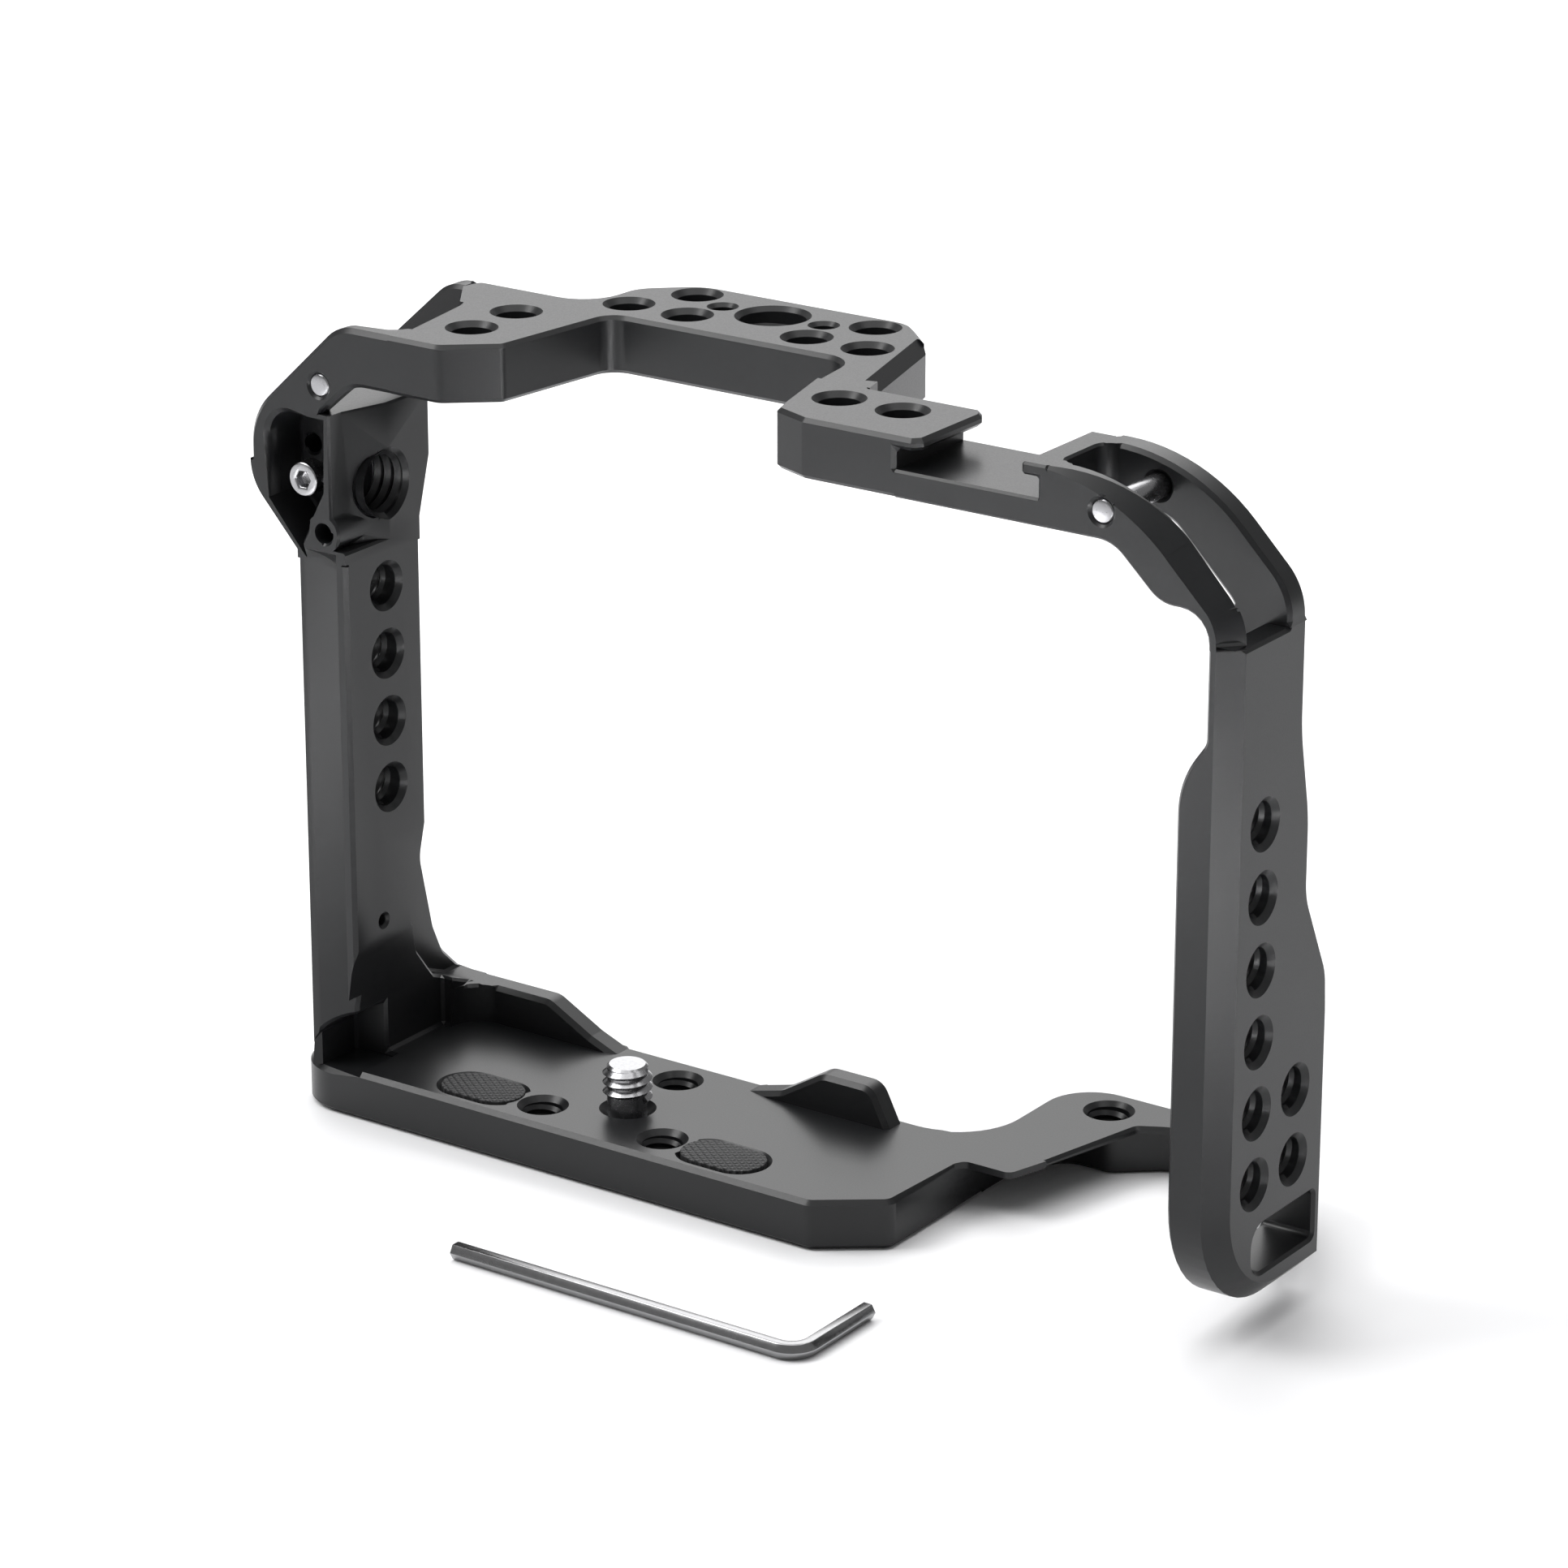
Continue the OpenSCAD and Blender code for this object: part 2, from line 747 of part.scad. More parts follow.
// Round cut under the column's foot, which leaves a thin wall on the outer side
module foot_undercut() {
  intersection() {
    drill_y(undercut_x, undercut_z, undercut_r + undercut_r, near_y - overrun, near_y + undercut_depth);
    along_z(-foot_step_h - overrun, undercut_r) polygon([
      [left_x - overrun, near_y - overrun],
      [left_x + undercut_wall_t, near_y + undercut_wall_t],
      [left_x + undercut_wall_t, near_y + undercut_depth + overrun],
      [left_inner_x + overrun, near_y + undercut_depth + overrun],
      [left_inner_x + overrun, near_y - overrun]
    ]);
  }
}

// Wedge cut from the inner side of the gusset
module gusset_relief() {
  deep_x = left_inner_x - relief_slope * (relief_top_z - lip_h);
  intersection() {
    along_x(deep_x - overrun, left_inner_x + overrun) polygon([
      [relief_near_y, relief_top_z],
      [relief_mid_y, relief_mid_z],
      [relief_foot_y, relief_foot_z],
      [base_far_y - lip_t, lip_h],
      [base_far_y + overrun, lip_h],
      [base_far_y + overrun, relief_top_z]
    ]);
    along_y(relief_near_y - overrun, base_far_y + overrun) polygon([
      [left_inner_x, relief_top_z],
      [deep_x, lip_h],
      [left_inner_x + overrun, lip_h],
      [left_inner_x + overrun, relief_top_z]
    ]);
  }
}

module left_column() {
  color([0.13, 0.13, 0.14]) difference() {
    union() {
      difference() {
        intersection() {
          along_z(-foot_step_h, left_split_z) left_column_plan();
          along_x(left_x, left_inner_x) left_column_side();
        }
        gusset_relief();
      }
      translate([left_inner_x, base_far_y - lip_t, 0]) along_z(0, lip_h) difference() {
        translate([-overrun, -foot_fillet_r]) square([overrun + foot_fillet_r, foot_fillet_r]);
        translate([foot_fillet_r, -foot_fillet_r]) circle(foot_fillet_r);
      }
    }
    foot_cove_cut();
    near_groove();
    foot_undercut();
    for (i = [0:left_hole_count - 1])
      sunk_hole_x(left_hole_y, left_hole_z + i * hole_pitch, left_x, left_inner_x);
    drill_x(
      left_small_hole_y, left_small_hole_z, left_small_hole_d, left_x - overrun, left_inner_x + overrun
    );
  }
}

// Outer outline of the left strap corner, drawn in X and Z
left_corner_outer = [
  [corner_top_x, top_z, corner_top_r],
  [corner_side_x, corner_side_z, corner_side_r],
  [corner_side_x, corner_low_z, corner_low_r],
  [left_x, corner_foot_z, 0]
];

// Opening in the near wall that shows the pocket behind it
module near_wall_outline() {
  polygon(rounded([
    [left_slot_end_x, top_z, 0],
    left_corner_outer[0],
    left_corner_outer[1],
    left_corner_outer[2],
    [strip_tip_x, strip_tip_z, 0],
    [window_x, window_low_z, 0],
    [window_x, window_top_z, window_r],
    [window_step_x, window_top_z, window_step_r],
    [window_rise_x, plate_z, window_rise_r],
    [left_slot_end_x, plate_z, 0]
  ]));
}

module pin_hole(x, z) {
  drill_y(x, z, pin_d + pin_fit, near_y - overrun, left_strap_far_y + overrun);
  translate([x, near_y - overrun, z]) rotate([-90, 0, 0])
    cylinder(d1 = pin_d + 2 * (pin_hole_chamfer + overrun), d2 = pin_d, h = pin_hole_chamfer + overrun);
}

module left_strap_near_wall() {
  inner_y = near_y + strap_wall_t;
  color([0.14, 0.14, 0.15]) difference() {
    intersection() {
      along_y(near_y, inner_y + left_slot_end_r) near_wall_outline();
      along_z(strip_tip_z - overrun, top_z + overrun) polygon(rounded([
        [corner_side_x - overrun, near_y - overrun, 0],
        [left_slot_end_x, near_y - overrun, 0],
        [left_slot_end_x, inner_y + left_slot_end_r, 0],
        [left_slot_end_x - left_slot_end_r / 3, inner_y + left_slot_end_r / 2, 0],
        [left_slot_end_x - left_slot_end_r, inner_y, 0],
        [corner_side_x - overrun, inner_y, 0]
      ]));
    }
    pin_hole(left_pin_x, left_pin_z);
  }
}

module left_strap_far_wall() {
  color([0.13, 0.13, 0.14]) difference() {
    along_y(left_slot_far_y, left_strap_far_y) polygon(rounded([
      [plate_near_far_x, top_z, 0],
      [far_corner_x, top_z, far_corner_r],
      [corner_side_x, far_corner_z, corner_top_r],
      [corner_side_x, corner_low_z, corner_low_r],
      [far_inner_x, corner_foot_z, 0],
      [far_inner_x, far_inner_z, 0],
      [plate_near_far_x, plate_z, 0]
    ]));
    drill_y(left_pin_x, left_pin_z, pin_d + pin_fit, near_y, left_strap_far_y + overrun);
  }
}

// Block that joins the strap walls to the left column
module lug_shell_outline() {
  polygon(rounded([
    [left_inner_x, top_z, 0],
    left_corner_outer[0],
    left_corner_outer[1],
    left_corner_outer[2],
    [left_x, corner_foot_z, 0],
    [left_x, left_split_z, 0],
    [left_inner_x, left_split_z, 0]
  ]));
}

module pocket_outline() {
  polygon(rounded([
    [window_x, window_top_z, window_r],
    [window_x, window_low_z, 0],
    [pocket_toe_x, pocket_toe_z, window_r],
    [pocket_tip_x, pocket_tip_z, 0],
    [gusset_face_x, gusset_face_z, 0],
    [pocket_wall_x, gusset_head_z, 0],
    [pocket_wall_x, window_top_z, 0]
  ]));
}

module lug_recess() {
  along_z(recess_floor_z, left_slot_floor_z + overrun) polygon([
    [recess_x, near_y - overrun],
    [recess_x, near_y + recess_flat],
    [left_inner_x, recess_far_y],
    [left_inner_x + overrun, recess_far_y],
    [left_inner_x + overrun, near_y - overrun]
  ]);
}

module lug_body() {
  intersection() {
    along_y(near_y, lug_far_y) lug_shell_outline();
    along_x(corner_side_x, left_inner_x) polygon([
      [near_y, left_split_z],
      [left_far_y, left_split_z],
      [left_far_y, lug_flare_low_z],
      [lug_far_y, lug_flare_top_z],
      [lug_far_y, left_slot_floor_z],
      [near_y, left_slot_floor_z]
    ]);
  }
  intersection() {
    along_y(pocket_floor_y, left_slot_far_y) lug_shell_outline();
    along_x(corner_side_x, far_inner_x) polygon([
      [pocket_floor_y, lug_back_low_z],
      [left_far_y, lug_back_low_z],
      [left_slot_far_y, lug_back_top_z],
      [left_slot_far_y, left_slot_floor_z],
      [pocket_floor_y, left_slot_floor_z]
    ]);
  }
}

module lug_block() {
  color([0.13, 0.13, 0.14]) difference() {
    union() {
      difference() {
        lug_body();
        along_y(near_y - overrun, near_y + strap_wall_t) near_wall_outline();
        along_y(near_y - overrun, pocket_floor_y) pocket_outline();
        lug_recess();
      }
      drill_y(boss_x, boss_z, boss_r + boss_r, near_y, recess_far_y);
    }
    drill_y(boss_x, boss_z, boss_hole_d, near_y - overrun, near_y + boss_hole_depth);
    drill_y(lug_screw_x, lug_screw_z, lug_bore_d, near_y, lug_head_far_y + lug_screw_l);
    drill_y(lug_tap_x, lug_tap_z, lug_tap_d, near_y, pocket_floor_y + lug_tap_depth);
    drill_x(left_large_y, left_large_z, large_d, left_inner_x - left_large_depth, left_inner_x + overrun);
    sink_x(left_large_y, left_large_z, large_d, large_mouth_d, left_inner_x, 1);
    near_groove();
  }
}

// Top plate
module plate_outline() {
  polygon(rounded([
    [left_slot_end_x, near_y, 0],
    [plate_corner_x, near_y, plate_corner_r],
    [plate_recess_near_x, plate_recess_near_y, plate_corner_r / 2],
    [plate_recess_x, plate_recess_y, plate_recess_r],
    [plate_neck_x - plate_neck_r / 8, plate_recess_y, plate_neck_r],
    [shoe_side_x - (shoe_side_x - plate_neck_x) * 3 / 4, shoe_far_y, 0],
    [plate_neck_out_x, shoe_far_y, 0],
    [plate_right_x, plate_right_y, plate_right_r],
    [plate_far_right_x, plate_far_y, plate_far_right_r],
    [plate_far_left_x, plate_far_y, plate_far_left_r],
    [plate_waist_x, plate_waist_y, plate_waist_r],
    [plate_waist_x - plate_corner_r / 5, plate_left_far_y, plate_waist_r],
    [plate_near_far_x, plate_left_far_y, plate_left_far_r],
    [plate_near_far_x, left_slot_far_y, 0],
    [plate_slot_bend_x, plate_slot_bend_y, plate_waist_r],
    [left_slot_end_x, near_y + strap_wall_t + left_slot_end_r, plate_corner_r]
  ]));
}

// Slanted cut along the neck's right side, its long edge in the top face
module neck_bevel_cut() {
  side = [plate_neck_out_x - plate_right_x, shoe_far_y - plate_right_y];
  run = norm(side) * (plate_right_y - neck_bevel_near_y) / (plate_right_y - shoe_far_y);
  translate([plate_right_x, plate_right_y, top_z]) rotate([0, 0, atan2(side[1], side[0])])
    along_x(-overrun, run) polygon([
      [-neck_bevel, 0],
      [neck_bevel, -neck_bevel - neck_bevel],
      [neck_bevel, overrun],
      [-neck_bevel, overrun]
    ]);
}

// Accessory hole through the top
module plate_hole(x, y) {
  sunk_hole_z(x, y, accessory_d, accessory_mouth_d, top_z, plate_z);
}

module top_plate() {
  color([0.13, 0.13, 0.14]) difference() {
    along_z(plate_z, top_z) plate_outline();
    neck_bevel_cut();
    for (side = [-1, 1]) {
      for (step = [1, 2])
        plate_hole(pattern_x + side * step * hole_pitch, plate_row_near_y);
      plate_hole(pattern_x + side * hole_pitch * 3 / 2, plate_row_far_y);
      drill_z(pattern_x + side * pin_hole_offset, plate_large_y, pin_hole_d, 0, top_z + overrun);
    }
    sunk_hole_z(pattern_x, plate_large_y, large_d, large_mouth_d, top_z, plate_z);
    for (step = [0, 1])
      plate_hole(left_pair_x, left_pair_y + step * hole_pitch);
  }
}

// Shoe block with the left lip of the slot
module shoe_block() {
  color([0.14, 0.14, 0.15]) difference() {
    along_z(plate_z, top_z) polygon(rounded([
      [shoe_side_x - (shoe_side_x - plate_neck_x) * 3 / 4, shoe_far_y, 0],
      [shoe_side_x, shoe_side_y, shoe_corner_r],
      [shoe_corner_x, shoe_corner_y, shoe_corner_r],
      [shoe_corner_x + shoe_corner_run, near_y, shoe_corner_r],
      [shoe_left_lip_x - shoe_lip_r, near_y, 0],
      [shoe_left_lip_x, near_y + shoe_lip_r, 0],
      [shoe_left_lip_x, shoe_lip_far_y, 0],
      [shoe_left_lip_x - shoe_lip_r, shoe_far_y, 0]
    ]));
    translate([shoe_left_wall_x, near_y - overrun, plate_z - overrun])
      cube([shoe_left_lip_x, shoe_far_y - near_y + overrun + overrun, plate_t + overrun - shoe_lip_t]);
    for (step = [0, 1])
      plate_hole(shoe_pair_x + step * hole_pitch, shoe_pair_y);
  }
}

// Bar under the shoe slot
module shoe_bar() {
  color([0.13, 0.13, 0.14]) translate([shoe_left_wall_x, near_y, plate_z])
    cube([shoe_right_wall_x - shoe_left_wall_x, shoe_far_y - near_y, shoe_floor_z - plate_z]);
}

// Root of the right strap corner with the right lip of the slot
module right_corner_root() {
  color([0.14, 0.14, 0.15]) {
    along_y(near_y, shoe_far_y) polygon([
      [shoe_right_lip_x, top_z],
      [shoe_right_lip_x, top_z - shoe_lip_t],
      [shoe_right_wall_x, top_z - shoe_lip_t],
      [shoe_right_wall_x, plate_z],
      [right_slot_x, plate_z],
      [right_slot_x, top_z]
    ]);
    along_z(plate_z, top_z) difference() {
      translate([right_slot_x - overrun, near_y + grip_bevel])
        square([overrun + right_slot_end_r, right_slot_far_y - near_y - grip_bevel]);
      translate([right_slot_x + right_slot_end_r, near_y + grip_bevel + right_slot_end_r])
        circle(right_slot_end_r);
      translate([right_slot_x + right_slot_end_r, right_slot_far_y - right_slot_end_r])
        circle(right_slot_end_r);
      translate([right_slot_x, near_y + grip_bevel + right_slot_end_r])
        square([right_slot_end_r + overrun, right_slot_far_y - near_y - grip_bevel - 2 * right_slot_end_r]);
    }
  }
}

// Outline shared by both walls of the right strap corner, drawn in X and Z
module grip_wall_outline() {
  thin_x = right_x - grip_thin_t;
  polygon(rounded([
    [right_slot_x, top_z, 0],
    [right_slot_x, plate_z, 0],
    [grip_inner_top_x, plate_z, grip_inner_top_r],
    [grip_inner_step_x, grip_inner_step_z, grip_inner_step_r],
    [thin_x, grip_inner_step_z, grip_inner_corner_r],
    [thin_x, right_slot_floor_z, 0],
    [right_x, right_slot_floor_z, 0],
    [right_x, grip_shoulder_z, grip_shoulder_r],
    [grip_round_x, top_z, grip_round_r]
  ]));
}

// Ring that cuts a bevel round an arc, about an axis along Y
module bevel_ring(x, z, r, reach) {
  translate([x, near_y, z]) rotate([-90, 0, 0]) rotate_extrude() polygon([
    [r - overrun, -overrun],
    [r + reach, reach],
    [r + reach + reach, reach],
    [r + reach + reach, -overrun]
  ]);
}

// Wedge between two directions, seen along Y, that keeps a ring to its own arc
module ring_wedge(x, z, from_angle, to_angle, r) {
  along_y(near_y - overrun - grip_bevel, near_y + grip_bevel + overrun) polygon([
    [x, z],
    [x + r * cos(from_angle), z + r * sin(from_angle)],
    [x + r * cos((from_angle + to_angle) / 2) * root2, z + r * sin((from_angle + to_angle) / 2) * root2],
    [x + r * cos(to_angle), z + r * sin(to_angle)]
  ]);
}

// Bevel cuts round the strap corner; the top round has its own centre, which tapers its bevel
module grip_bevel_cuts() {
  slope_sum = grip_round_x + top_z;
  inset = grip_bevel * root2;
  round_r = (slope_sum - inset - bevel_round_x - bevel_round_z) / root2;
  shoulder_x = right_x - grip_shoulder_r;
  shoulder_z = grip_shoulder_z - grip_shoulder_r * tan(22.5);
  reach = grip_bevel + overrun;
  intersection() {
    bevel_ring(bevel_round_x, bevel_round_z, round_r, grip_bevel + grip_bevel);
    ring_wedge(bevel_round_x, bevel_round_z, 45, 95, round_r + round_r);
  }
  intersection() {
    bevel_ring(shoulder_x, shoulder_z, grip_shoulder_r - grip_bevel, grip_bevel + grip_bevel);
    ring_wedge(shoulder_x, shoulder_z, 0, 45, grip_shoulder_r + grip_shoulder_r);
  }
  slope_start = bevel_round_z + round_r / root2;
  slope_end = shoulder_z + (grip_shoulder_r - grip_bevel) / root2;
  slope_run = (slope_start - slope_end) * root2;
  translate([shoulder_x + (grip_shoulder_r - grip_bevel) / root2, near_y, slope_end])
    rotate([0, -135, 0]) along_x(0, slope_run) polygon([
      [-overrun, overrun],
      [reach, -reach],
      [-overrun, -reach]
    ]);
  near_edge_bevel(right_slot_floor_z, shoulder_z);
}

module right_strap_near_wall() {
  inner_y = near_y + grip_bevel;
  color([0.15, 0.15, 0.16]) difference() {
    along_y(near_y, inner_y) grip_wall_outline();
    grip_bevel_cuts();
    pin_hole(right_pin_x, right_pin_z);
  }
}

// Bevel along the right column's near outer edge, between two heights
module near_edge_bevel(from, to) {
  along_z(from, to) polygon([
    [right_x - grip_bevel - overrun, near_y - overrun],
    [right_x + overrun, near_y + grip_bevel + overrun],
    [right_x + overrun, near_y - overrun]
  ]);
}

module right_strap_far_wall() {
  color([0.13, 0.13, 0.14]) difference() {
    along_y(right_slot_far_y, right_upper_far_y) polygon(rounded([
      [right_slot_x, top_z, 0],
      [right_slot_x, plate_z, 0],
      [grip_inner_top_x, plate_z, grip_inner_top_r],
      [right_inner_x, plate_z + grip_inner_top_x - right_inner_x, grip_inner_step_r],
      [right_inner_x, right_slot_floor_z, 0],
      [right_x, right_slot_floor_z, 0],
      [right_x, grip_shoulder_z, grip_shoulder_r],
      [grip_round_x, top_z, grip_round_r]
    ]));
    drill_y(right_pin_x, right_pin_z, pin_d + pin_fit, near_y, right_upper_far_y + overrun);
  }
}

// Right column, from the slot floor down to its rounded foot
module right_column_thinning() {
  thin_x = right_x - grip_thin_t;
  along_y(near_y - overrun, right_slot_far_y) polygon(rounded([
    [right_inner_x - overrun, right_slot_floor_z + overrun, 0],
    [thin_x, right_slot_floor_z + overrun, 0],
    [thin_x, grip_swell_top_z, grip_swell_top_r],
    [right_inner_x, grip_swell_low_z, grip_swell_low_r],
    [right_inner_x, grip_waist_high_z, 0],
    [right_inner_x - overrun, grip_waist_high_z, 0]
  ]));
}

module right_column_side() {
  polygon(rounded([
    [near_y, right_slot_floor_z, 0],
    [near_y, grip_foot_bottom_z, grip_foot_r],
    [grip_foot_far_y, grip_foot_bottom_z, grip_foot_far_r],
    [grip_foot_far_y, grip_foot_z, 0],
    [grip_flare_y, grip_flare_z, grip_shoulder_r],
    [grip_waist_y, grip_waist_low_z, grip_shoulder_r],
    [grip_waist_y, grip_waist_high_z, grip_round_r],
    [right_upper_far_y, grip_waist_top_z, grip_round_r],
    [right_upper_far_y, right_slot_floor_z, 0]
  ]));
}

module foot_bevel() {
  reach = grip_bevel + grip_bevel;
  intersection() {
    translate([0, grip_foot_y, grip_foot_round_z]) rotate([0, 90, 0]) rotate_extrude() polygon([
      [grip_foot_r + overrun, right_x - grip_bevel - overrun],
      [grip_foot_r + reach, right_x - grip_bevel - overrun],
      [grip_foot_r + reach, right_x + overrun],
      [grip_foot_r - grip_bevel - overrun, right_x + overrun]
    ]);
    translate([right_x - reach, near_y - overrun, grip_foot_bottom_z - overrun])
      cube([reach + reach, grip_foot_r + overrun, grip_foot_r + overrun]);
  }
  along_y(grip_foot_y, grip_foot_far_y + overrun) polygon([
    [right_x - grip_bevel - overrun, grip_foot_bottom_z - overrun],
    [right_x + overrun, grip_foot_bottom_z + grip_bevel + overrun],
    [right_x + overrun, grip_foot_bottom_z - overrun]
  ]);
}

module right_column() {
  color([0.13, 0.13, 0.14]) difference() {
    along_x(right_inner_x, right_x) right_column_side();
    right_column_thinning();
    near_edge_bevel(grip_foot_round_z, right_slot_floor_z + overrun);
    foot_bevel();
    for (i = [0:grip_hole_count - 1])
      sunk_hole_x(grip_hole_y, grip_hole_z + i * hole_pitch, right_inner_x, right_x);
    for (i = [0:grip_hole_far_count - 1])
      sunk_hole_x(grip_hole_far_y, grip_hole_z + i * hole_pitch, right_inner_x, right_x);
    along_x(right_inner_x - overrun, right_x + overrun) polygon(rounded([
      [strap_slot_near_y, strap_slot_low_z, strap_slot_r],
      [strap_slot_far_y, strap_slot_low_z, strap_slot_r / 3],
      [strap_slot_far_y, strap_slot_top_z, strap_slot_r / 3],
      [strap_slot_near_y, strap_slot_top_z, strap_slot_r]
    ]));
  }
}

// Captive tripod screw: head in the underside pocket, neck in the bore, thread above the plate
module tripod_screw() {
  head_bottom = base_bottom_z + head_pocket_clearance / 2;
  color([0.75, 0.75, 0.76]) difference() {
    union() {
      drill_z(0, 0, screw_head_d, head_bottom, head_bottom + head_t);
      drill_z(0, 0, screw_neck_d, head_bottom, thread_start);
      drill_z(0, 0, screw_d, thread_start, screw_rise - thread_chamfer);
      translate([0, 0, screw_rise - thread_chamfer])
        cylinder(d1 = screw_d, d2 = screw_d - 2 * thread_chamfer, h = thread_chamfer);
    }
    translate([-screw_head_d, -slot_w / 2, head_bottom - overrun])
      cube([screw_head_d + screw_head_d, slot_w, slot_depth + overrun]);
  }
}

// Socket-head screw that clamps a cable lug in the pocket
module lug_screw() {
  socket_d = lug_socket_af / cos(30);
  color([0.78, 0.78, 0.79]) difference() {
    union() {
      drill_y(lug_screw_x, lug_screw_z, lug_head_d, lug_head_y, lug_head_far_y);
      drill_y(lug_screw_x, lug_screw_z, lug_screw_d, lug_head_y, lug_head_far_y + lug_screw_l - lug_end_gap);
    }
    translate([lug_screw_x, lug_head_y + lug_socket_depth, lug_screw_z]) rotate([90, 0, 0])
      cylinder(d = socket_d, h = lug_socket_depth + overrun, $fn = 6);
  }
}

// Strap pins pressed through both walls of each strap corner
module left_strap_pin() {
  color([0.8, 0.8, 0.81])
    drill_y(left_pin_x, left_pin_z, pin_d, near_y + pin_setback, left_strap_far_y - pin_setback);
}

module right_strap_pin() {
  color([0.8, 0.8, 0.81])
    drill_y(right_pin_x, right_pin_z, pin_d, near_y + pin_setback, right_upper_far_y - pin_setback);
}

// Rubber pads glued into their pockets
module pad(side) {
  color([0.08, 0.08, 0.08]) translate([side * pad_x, pad_y])
    along_z(-pad_pocket_depth, pad_t - pad_pocket_depth) obround(pad_l, pad_w);
}

module rubber_pad_left() {
  pad(-1);
}

module rubber_pad_right() {
  pad(1);
}

// Hex key, its long arm along X and its short arm towards the cage
module hex_key() {
  key_z = base_bottom_z + key_af / 2;
  corner_d = key_af / cos(30);
  color([0.7, 0.7, 0.71]) intersection() {
    union() {
      translate([key_x, key_y, key_z]) rotate([0, 90, 0]) rotate([0, 0, 30])
        cylinder(d = corner_d, h = key_long, $fn = 6);
      translate([key_x + key_long - corner_d / 2, key_y - corner_d / 2, key_z]) rotate([-90, 0, 0])
        cylinder(d = corner_d, h = key_short, $fn = 6);
    }
    along_z(base_bottom_z, key_z + key_af) polygon([
      [key_x, key_y - key_af],
      [key_x + key_long - key_bend, key_y - key_af],
      [key_x + key_long + key_af - key_bend / 2, key_y + key_bend / 2],
      [key_x + key_long + key_af - key_bend / 2, key_y + key_short],
      [key_x, key_y + key_short]
    ]);
  }
}

base_plate();
front_lip_left();
front_lip_right();
grip_arm();
left_column();
lug_block();
left_strap_near_wall();
left_strap_far_wall();
top_plate();
shoe_block();
shoe_bar();
right_corner_root();
right_strap_near_wall();
right_strap_far_wall();
right_column();
tripod_screw();
lug_screw();
left_strap_pin();
right_strap_pin();
rubber_pad_left();
rubber_pad_right();
hex_key();
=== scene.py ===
import math

import bmesh
import bpy
from mathutils import Matrix, Vector
from mathutils.bvhtree import BVHTree


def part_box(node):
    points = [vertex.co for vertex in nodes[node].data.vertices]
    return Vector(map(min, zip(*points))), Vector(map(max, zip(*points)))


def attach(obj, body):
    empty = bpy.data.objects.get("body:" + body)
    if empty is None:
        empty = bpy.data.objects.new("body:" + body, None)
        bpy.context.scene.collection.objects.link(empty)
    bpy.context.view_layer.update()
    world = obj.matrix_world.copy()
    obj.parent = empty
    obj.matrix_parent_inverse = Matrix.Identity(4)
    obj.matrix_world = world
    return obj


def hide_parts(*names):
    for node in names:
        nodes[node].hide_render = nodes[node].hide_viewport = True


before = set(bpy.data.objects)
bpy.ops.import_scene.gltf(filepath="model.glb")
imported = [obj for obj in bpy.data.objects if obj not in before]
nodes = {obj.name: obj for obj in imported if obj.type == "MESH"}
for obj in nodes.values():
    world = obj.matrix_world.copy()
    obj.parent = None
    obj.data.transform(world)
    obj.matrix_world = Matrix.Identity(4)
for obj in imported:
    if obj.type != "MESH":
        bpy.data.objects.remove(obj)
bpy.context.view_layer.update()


# The machined frame. The real cage is milled from one block of aluminium, its edges are broken
# with a fine chamfer, and it is bead-blasted and anodised black. Each member is dressed by itself:
# a copy of its solid gets the chamfers, but not where it meets the next member.
frame_chamfers = {
    "base_plate": 0.0006,
    "front_lip_left": 0.0006,
    "front_lip_right": 0.0006,
    "grip_arm": 0.0004,
    "left_column": 0.0004,
    "lug_block": 0.0003,
    "left_strap_near_wall": 0.0006,
    "left_strap_far_wall": 0.0005,
    "top_plate": 0.0005,
    "shoe_block": 0.0005,
    "shoe_bar": 0.0003,
    "right_corner_root": 0.0003,
    "right_strap_near_wall": 0.0003,
    "right_strap_far_wall": 0.0005,
    "right_column": 0.0004,
}


def new_material(name):
    """Empty node material; returns the material, its nodes, its links and its shader."""
    material = bpy.data.materials.new(name)
    material.use_nodes = True
    tree = material.node_tree
    return material, tree.nodes, tree.links, tree.nodes["Principled BSDF"]


def blast_grain_group():
    """Fine pits of bead blasting, with a slow drift in tone. Puts out a height and a tone."""
    group = bpy.data.node_groups.new("blast_grain", "ShaderNodeTree")
    for socket in ("Grain scale", "Drift scale"):
        group.interface.new_socket(socket, in_out="INPUT", socket_type="NodeSocketFloat")
    for socket in ("Height", "Tone"):
        group.interface.new_socket(socket, in_out="OUTPUT", socket_type="NodeSocketFloat")
    start = group.nodes.new("NodeGroupInput")
    end = group.nodes.new("NodeGroupOutput")
    place = group.nodes.new("ShaderNodeTexCoord")
    for scale, detail, output in (("Grain scale", 2.0, "Height"), ("Drift scale", 3.0, "Tone")):
        noise = group.nodes.new("ShaderNodeTexNoise")
        noise.inputs["Detail"].default_value = detail
        group.links.new(place.outputs["Object"], noise.inputs["Vector"])
        group.links.new(start.outputs[scale], noise.inputs["Scale"])
        group.links.new(noise.outputs["Fac"], end.inputs[output])
    return group


blast_grain = blast_grain_group()


def colour_mix(tree_nodes, links, share, dark, light, shader):
    """Mixes two colours by a share and feeds the result to the shader's base colour."""
    # A Mix node has sockets of the same names for each kind of value: these are the colours'.
    factor, first, second, result = 0, 6, 7, 2
    mix = tree_nodes.new("ShaderNodeMix")
    mix.data_type = "RGBA"
    mix.inputs[first].default_value = (*dark, 1.0)
    mix.inputs[second].default_value = (*light, 1.0)
    links.new(share, mix.inputs[factor])
    links.new(mix.outputs[result], shader.inputs["Base Color"])


